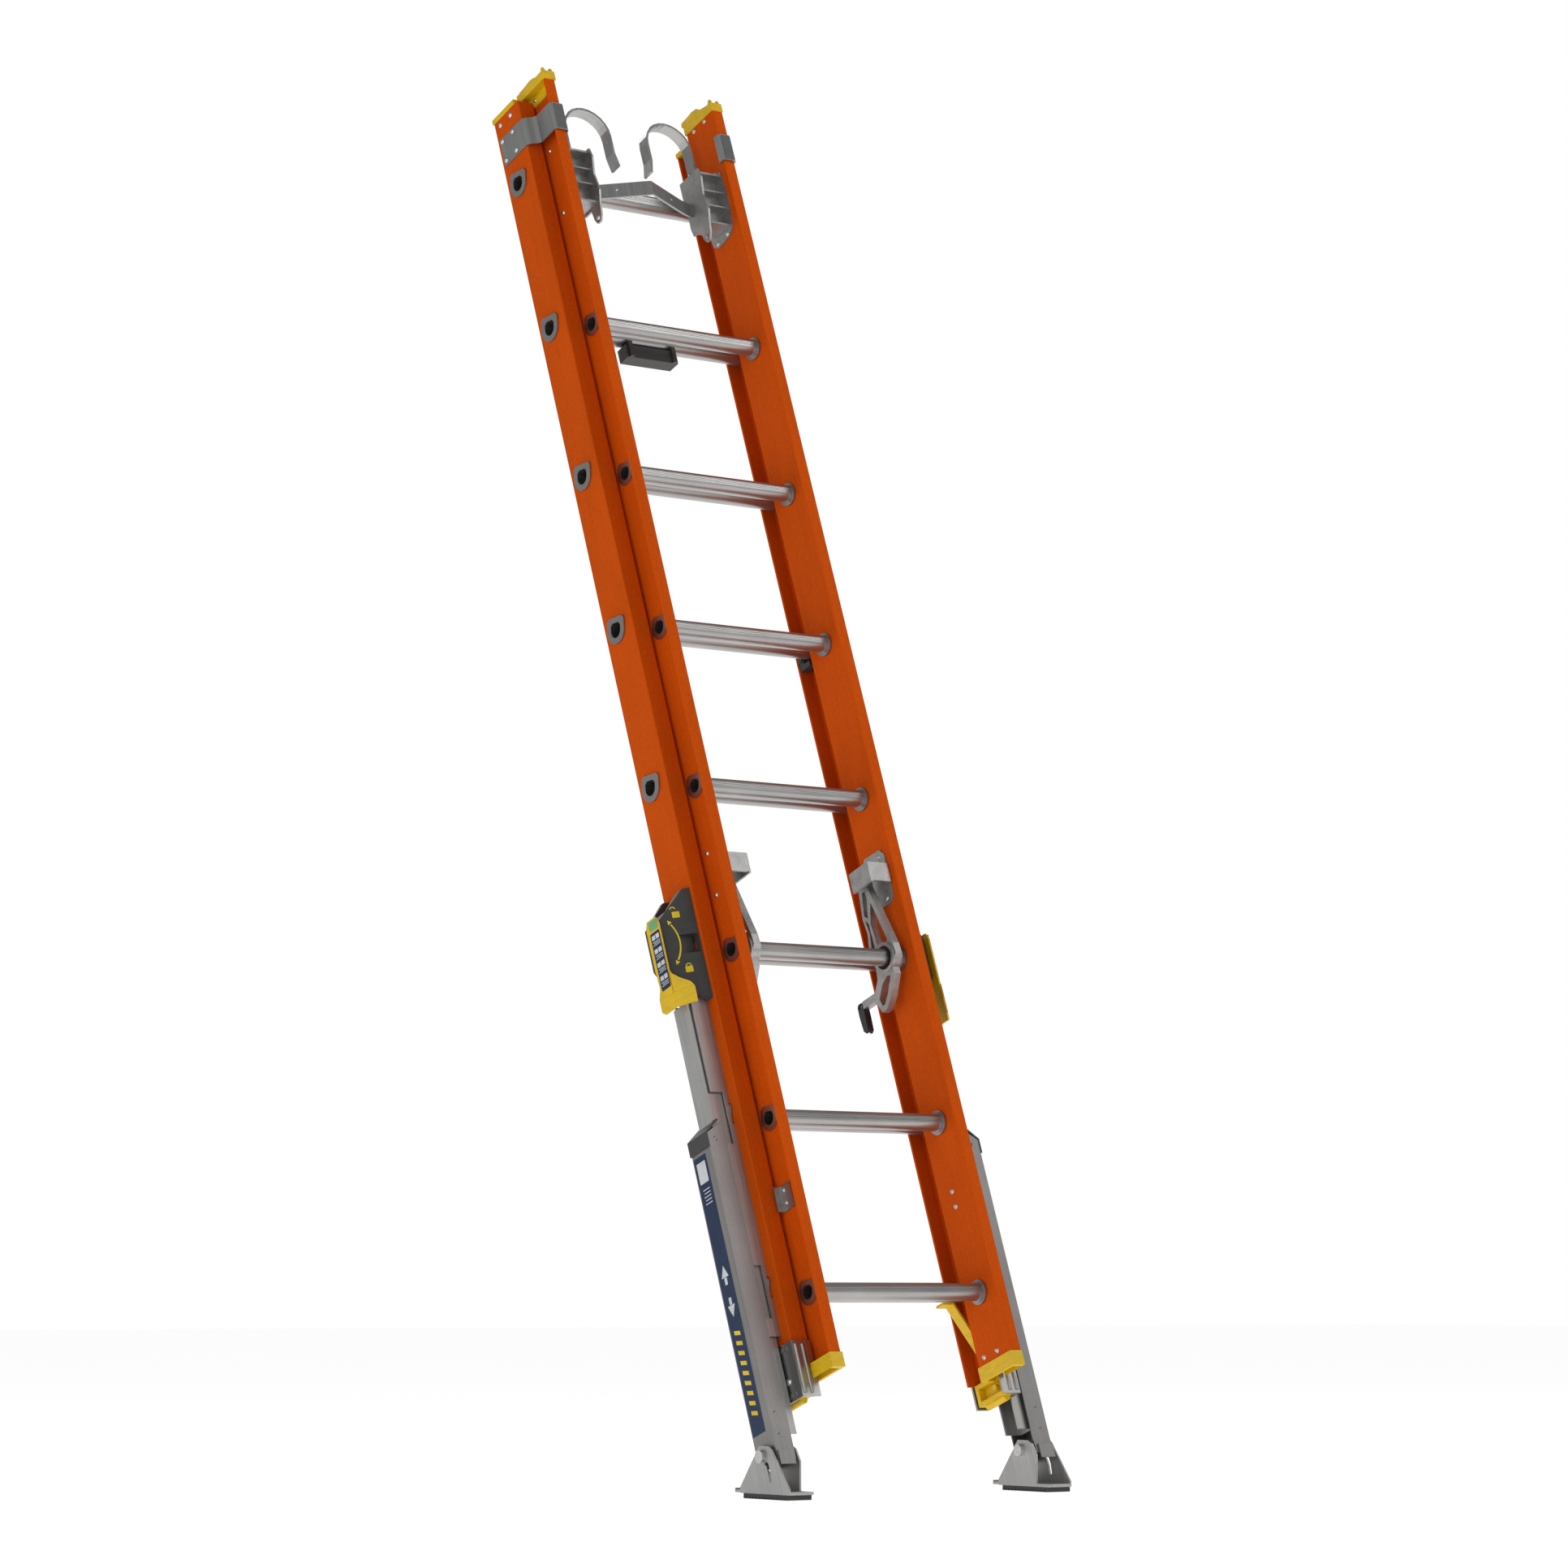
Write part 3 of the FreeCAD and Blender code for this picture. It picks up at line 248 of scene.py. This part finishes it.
LOOKS = (
    ("base_rail", ORANGE_SHADED_COPY), ("fly_rail", ORANGE_LIT_COPY), ("base_rung", RUNG), ("fly_rung", RUNG),
    ("base_top_caps", YELLOW), ("fly_top_caps", YELLOW), ("fly_bottom_caps", YELLOW),
    ("foot_braces", YELLOW), ("release_lever", YELLOW), ("latch_housing", CHARCOAL),
    ("leg_cap", CHARCOAL), ("rung_bumper", CHARCOAL), ("level_holder", CHARCOAL), ("level_vial", VIAL),
    ("top_guide", BRIGHT), ("rail_shields", BRIGHT), ("leg_guides", CHANNEL), ("leg_channel", LEG),
    ("slide_bar", CHANNEL), ("pivot_bolt", ZINC), ("shoe", CHANNEL), ("pad", RUBBER),
    ("base_rivets", ZINC), ("fly_rivets", ZINC), ("fly_guides", BRIGHT), ("v_bar", BRIGHT),
    ("v_bracket", CAST), ("lock_guides", CAST), ("rung_lock", CAST), ("lock_flipper", FLIPPER),
    ("cable_hook", STRAP),
)
for name, item in nodes.items():
    look = [paint for start, paint in LOOKS if name.startswith(start)][0]
    for slot in item.material_slots:
        slot.material = look


# ------------------------------------------------------------ added pieces
def piece(name, mesh, paint, body, matrix=TO_FRAME):
    """A mesh object drawn in ladder axes that rides with one body."""
    mesh.transform(matrix)
    item = bpy.data.objects.new(name, mesh)
    bpy.context.scene.collection.objects.link(item)
    item.data.materials.append(paint)
    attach(item, body)
    return item


def prism(name, outlines, place, thick):
    """Flat shapes given a thickness; place maps (a, b, height) to ladder axes."""
    mesh = bpy.data.meshes.new(name)
    shape = bmesh.new()
    for outline in outlines:
        low = [shape.verts.new(place(a, b, 0.0)) for a, b in outline]
        high = [shape.verts.new(place(a, b, thick)) for a, b in outline]
        shape.faces.new(low)
        shape.faces.new(high)
        for index in range(len(outline)):
            after = (index + 1) % len(outline)
            shape.faces.new((low[index], low[after], high[after], high[index]))
    bmesh.ops.recalc_face_normals(shape, faces=shape.faces)
    shape.to_mesh(mesh)
    shape.free()
    return mesh


def rounded(a_low, a_high, b_low, b_high, radius):
    """A rectangle with rounded corners, each drawn in a few steps."""
    steps = 5
    points = []
    corners = (
        (a_high - radius, b_high - radius, 0), (a_low + radius, b_high - radius, 90),
        (a_low + radius, b_low + radius, 180), (a_high - radius, b_low + radius, 270),
    )
    for a, b, start in corners:
        for step in range(steps + 1):
            angle = math.radians(start + 90 * step / steps)
            points.append((a + radius * math.cos(angle), b + radius * math.sin(angle)))
    return points


def band(a, b, radius, width, start, stop, steps=14):
    """An arc-shaped band between two angles in degrees."""
    angles = [math.radians(start + (stop - start) * step / steps) for step in range(steps + 1)]
    inner = [(a + (radius - width) * math.cos(t), b + (radius - width) * math.sin(t)) for t in angles]
    outer = [(a + radius * math.cos(t), b + radius * math.sin(t)) for t in angles]
    return outer + inner[::-1]


MM = 0.001
FILM = 0.25 * MM
INK = FILM * 0.6
CLEAR = 0.02 * MM


def outer_face(low, high, side):
    """How far a node's outer face is from the middle plane."""
    return high.x if side > 0 else -low.x


def on_side(side, face):
    """Placer for shapes drawn in (v, w) on an outer face, thickness outward."""
    def place(a, b, height):
        return (side * (face + height), a, b)
    return place


def on_upright(side, near, far, turn, lift=0.0, base=0.0):
    """Placer for shapes on a plane that stands along w and runs from near to far.

    Turn is 1 or -1 and picks the side of the plane that the thickness goes to.
    """
    along = (far - near).normalized()
    normal = Vector((along.y, -along.x, 0)) * turn

    def place(a, b, height):
        spot = near + along * a + normal * (height + lift)
        return (side * spot.x, spot.y, base + b)
    return place


def leg_sticker(side_name, side):
    """Navy strip up the leg's outer face with generic arrows, bars and blocks."""
    low, high = span("leg_channel_" + side_name)
    face = outer_face(low, high, side) + CLEAR
    body = "leg_" + side_name
    raised = on_side(side, face + FILM)
    left = low.y + 21 * MM
    right = high.y - 2.5 * MM
    bottom = low.z + 62 * MM
    top = span("leg_cap_" + side_name)[0].z - 6 * MM
    middle = (left + right) / 2
    half = (right - left) / 2

    def across(share):
        return middle + half * share

    strip = rounded(left, right, bottom, top, 1.5 * MM)
    film = prism("film", [strip], on_side(side, face), FILM)
    piece("leg_film_" + side_name, film, NAVY, body)

    marks = []
    head, shaft_near, shaft_far = 20 * MM, 1 * MM, 13 * MM
    for share, turn in ((0.56, 1), (0.46, -1)):
        centre = bottom + share * (top - bottom)
        marks.append([(across(-0.55), centre), (across(0.55), centre), (middle, centre + turn * head)])
        ends = sorted((centre - turn * shaft_far, centre - turn * shaft_near))
        marks.append(rounded(across(-0.2), across(0.2), *ends, 0.8 * MM))
    panel_low, panel_high = top - 46 * MM, top - 10 * MM
    marks.append(rounded(across(-0.7), across(0.7), panel_low, panel_high, 1.5 * MM))
    first_line, line_pitch, line_thick = top - 58 * MM, 6 * MM, 1.6 * MM
    for line in range(5):
        start = first_line - line * line_pitch
        end = across(0.5 - 0.12 * (line % 2))
        marks.append(rounded(across(-0.6), end, start, start + line_thick, 0.5 * MM))
    piece("leg_print_" + side_name, prism("print", marks, raised, INK), WHITE, body)

    blocks = []
    first_block, block_pitch, slant, block_tall = bottom + 30 * MM, 17 * MM, 5 * MM, 7 * MM
    for step in range(9):
        start = first_block + step * block_pitch
        blocks.append([
            (across(-0.45), start), (across(0.45), start + slant),
            (across(0.45), start + slant + block_tall), (across(-0.45), start + block_tall),
        ])
    mesh = prism("blocks", blocks, raised, INK)
    piece("leg_blocks_" + side_name, mesh, YELLOW_INK, body)


def lever_label(side_name, side):
    """Navy label with pale pictogram bars and a green strip on the paddle."""
    low, high = span("release_lever_" + side_name)
    face = outer_face(low, high, side) + CLEAR
    place = on_side(side, face)
    raised = on_side(side, face + FILM)
    body = "lever_" + side_name
    top = high.z
    near = low.y + 30.5 * MM
    wide = 27 * MM

    label_low, label_high = top - 128 * MM, top - 24 * MM
    outline = rounded(near, near + wide, label_low, label_high, 3 * MM)
    piece("lever_label_" + side_name, prism("label", [outline], place, FILM), NAVY, body)
    strip_low, strip_high, inset = top - 20 * MM, top - 3 * MM, 1 * MM
    strip = rounded(near + inset, near + wide - inset, strip_low, strip_high, 2 * MM)
    piece("lever_strip_" + side_name, prism("strip", [strip], place, FILM), GREEN, body)

    marks = []
    first_row, row_pitch, icon_tall = 29 * MM, 24.5 * MM, 8 * MM
    line_gap, line_pitch, line_thick = 11 * MM, 3 * MM, 1.1 * MM
    for row in range(4):
        height = top - first_row - row * row_pitch
        for icon_left, icon_right in ((3 * MM, 12.5 * MM), (14.5 * MM, 24 * MM)):
            marks.append(rounded(near + icon_left, near + icon_right, height - icon_tall, height, 1 * MM))
        for line in range(3):
            start = height - line_gap - line * line_pitch
            end = near + (24 - 3 * (line % 2)) * MM
            marks.append(rounded(near + 3 * MM, end, start - line_thick, start, 0.4 * MM))
    piece("lever_print_" + side_name, prism("marks", marks, raised, INK), WHITE, body)


def lever_wing(side_name, side):
    """Sloping upper part of the paddle's thumb wing, above the moulded band."""
    low, high = span("release_lever_" + side_name)
    outer = outer_face(low, high, side) - 3 * MM
    near = Vector((outer, low.y + 29.3 * MM, 0))
    far = Vector((outer - 24 * MM, low.y + 1.8 * MM, 0))
    reach = (far - near).length
    root = -0.5 * MM
    base = 27.9 * MM
    outline = [
        (root, base), (root, base + 40 * MM), (3 * MM, base + 31 * MM),
        (0.45 * reach, base + 19 * MM), (0.85 * reach, base + 9 * MM), (reach, base),
    ]
    mesh = prism("wing", [outline], on_upright(side, near, far, -1, base=low.z), 2.8 * MM)
    piece("lever_wing_" + side_name, mesh, YELLOW, "lever_" + side_name)


def padlock(a, b, opened):
    """A rounded body with its shackle, which is lifted and shifted when opened."""
    size = 6.5 * MM
    shoulder = b + size * 0.7
    lift = 4.5 * MM if opened else 0.5 * MM
    shift = 4.0 * MM if opened else 0.0
    return [
        rounded(a - size, a + size, b - size, shoulder, 1 * MM),
        band(a + shift, shoulder + lift, 5 * MM, 1.8 * MM, 0, 180),
    ]


def arrow_head(centre, radius, width, angle, turn):
    """A triangle across the end of an arc-shaped band, pointing along the arc."""
    half, sweep = 4 * MM, 7
    t = math.radians(angle)
    tip = math.radians(angle + turn * sweep)
    a = centre[0] + (radius - width / 2) * math.cos(t)
    b = centre[1] + (radius - width / 2) * math.sin(t)
    return [
        (a - half * math.cos(t), b - half * math.sin(t)),
        (a + half * math.cos(t), b + half * math.sin(t)),
        (centre[0] + radius * math.cos(tip), centre[1] + radius * math.sin(tip)),
    ]


def housing_icons(side_name, side):
    """Padlock pictograms and a curved arrow on the housing's sloping front face."""
    near = Vector((236.0, 8.0, 0)) * MM
    far = Vector((284.0, 32.0, 0)) * MM
    reach = (far - near).length
    open_height, arc_height, shut_height = 1.030, 0.98, 0.930
    shapes = padlock(0.36 * reach, open_height, True) + padlock(0.30 * reach, shut_height, False)
    radius, width = 62 * MM, 2.6 * MM
    centre = (0.5 * reach + radius - 6 * MM, arc_height)
    first, last, gap = 148, 212, 2
    shapes.append(band(*centre, radius, width, first, last, 20))
    for angle, turn in ((first - gap, -1), (last + gap, 1)):
        shapes.append(arrow_head(centre, radius, width, angle, turn))
    mesh = prism("icons", shapes, on_upright(side, near, far, 1, lift=CLEAR), FILM)
    piece("housing_icons_" + side_name, mesh, YELLOW_INK, "base_section")


def guide_pad(side_name, side):
    """Grey wear pad on the front face of a top guide."""
    low, high = span("top_guide_" + side_name)
    inner, outer, rim = 176.5 * MM, 197 * MM, 2.5 * MM

    def place(a, b, height):
        return (side * a, low.y - CLEAR - height, b)

    outline = rounded(inner, outer, low.z + rim, high.z - rim, 1.5 * MM)
    mesh = prism("pad_face", [outline], place, 1.2 * MM)
    piece("guide_pad_" + side_name, mesh, GREY_PAD, "base_section")


for side_name, side in (("left", -1), ("right", 1)):
    leg_sticker(side_name, side)
    lever_label(side_name, side)
    lever_wing(side_name, side)
    housing_icons(side_name, side)
    guide_pad(side_name, side)


# ------------------------------------------------------------ studio
WHITE_LIGHT = (1, 1, 1, 1)
FLOOR_REACH = 40.0
FLOOR_DROP = 0.0005
FLOOR_GLOW = 0.66
SOFT_LIGHT = 0.34
BACKDROP = 1.0
LIGHT_AIM = (0, 0, 1.2)
# name, place, width and height in metres, power in watts
LAMPS = (
    ("key", (3.2, -4.6, 4.6), (2.6, 3.2), 72),
    ("fill", (-4.6, -2.6, 2.6), (2.6, 3.6), 48),
    ("rim", (1.0, 4.4, 3.8), (3.0, 2.0), 50),
)
SENSOR_MM = 36.0
LENS_MM = 103.2
EYE = (-4.579, -5.773 + SHIFT_Y, 0.313)
AZIMUTH = math.radians(-36.51)
PITCH = math.radians(6.57)


def looking(item, direction):
    """Turn a light or the camera to face along a direction."""
    item.rotation_mode = "QUATERNION"
    item.rotation_quaternion = direction.to_track_quat("-Z", "Y")


def area_light(name, location, size, power):
    """Soft rectangular light that faces the middle of the ladder."""
    lamp = bpy.data.lights.new(name, "AREA")
    lamp.shape = "RECTANGLE"
    lamp.size, lamp.size_y = size
    lamp.energy = power
    item = bpy.data.objects.new(name, lamp)
    item.location = location
    looking(item, Vector(LIGHT_AIM) - Vector(location))
    bpy.context.scene.collection.objects.link(item)


def pale_floor():
    """Large floor just under the feet, bright enough to meet the backdrop."""
    mesh = bpy.data.meshes.new("floor")
    corners = [(x * FLOOR_REACH, y * FLOOR_REACH, 0) for x, y in ((-1, -1), (1, -1), (1, 1), (-1, 1))]
    mesh.from_pydata(corners, [], [(0, 1, 2, 3)])
    floor = bpy.data.objects.new("floor", mesh)
    floor.location.z = -FLOOR_DROP
    bpy.context.scene.collection.objects.link(floor)
    shade = Shade("floor_pale", (0.93, 0.93, 0.93), 0.9, specular=0.1)
    mottled = shade.noise((2, 2, 2), detail=2)
    shade.vary_color((mottled, 0.99, 1.0))
    shade.bsdf.inputs["Emission Color"].default_value = WHITE_LIGHT
    shade.bsdf.inputs["Emission Strength"].default_value = FLOOR_GLOW
    floor.data.materials.append(shade.material)


def backdrop():
    """White where the camera looks straight at it, softer as a light."""
    world = bpy.data.worlds.new("studio")
    bpy.context.scene.world = world
    world.use_nodes = True
    tree = world.node_tree
    soft = tree.nodes["Background"]
    white = tree.nodes.new("ShaderNodeBackground")
    for shader, strength in ((soft, SOFT_LIGHT), (white, BACKDROP)):
        shader.inputs["Color"].default_value = WHITE_LIGHT
        shader.inputs["Strength"].default_value = strength
    path = tree.nodes.new("ShaderNodeLightPath")
    blend = tree.nodes.new("ShaderNodeMixShader")
    tree.links.new(path.outputs["Is Camera Ray"], blend.inputs["Fac"])
    tree.links.new(soft.outputs["Background"], blend.inputs[1])
    tree.links.new(white.outputs["Background"], blend.inputs[2])
    tree.links.new(blend.outputs["Shader"], tree.nodes["World Output"].inputs["Surface"])


def camera():
    """Long lens from the left front, low and looking up a little."""
    data = bpy.data.cameras.new("camera")
    data.sensor_width = SENSOR_MM
    data.lens = LENS_MM
    item = bpy.data.objects.new("camera", data)
    item.location = EYE
    flat = math.cos(PITCH)
    looking(item, Vector((-math.sin(AZIMUTH) * flat, math.cos(AZIMUTH) * flat, math.sin(PITCH))))
    bpy.context.scene.collection.objects.link(item)
    bpy.context.scene.camera = item


pale_floor()
backdrop()
for lamp_name, place, size, watts in LAMPS:
    area_light(lamp_name, place, size, watts)
camera()
bpy.context.scene.view_settings.view_transform = "Standard"
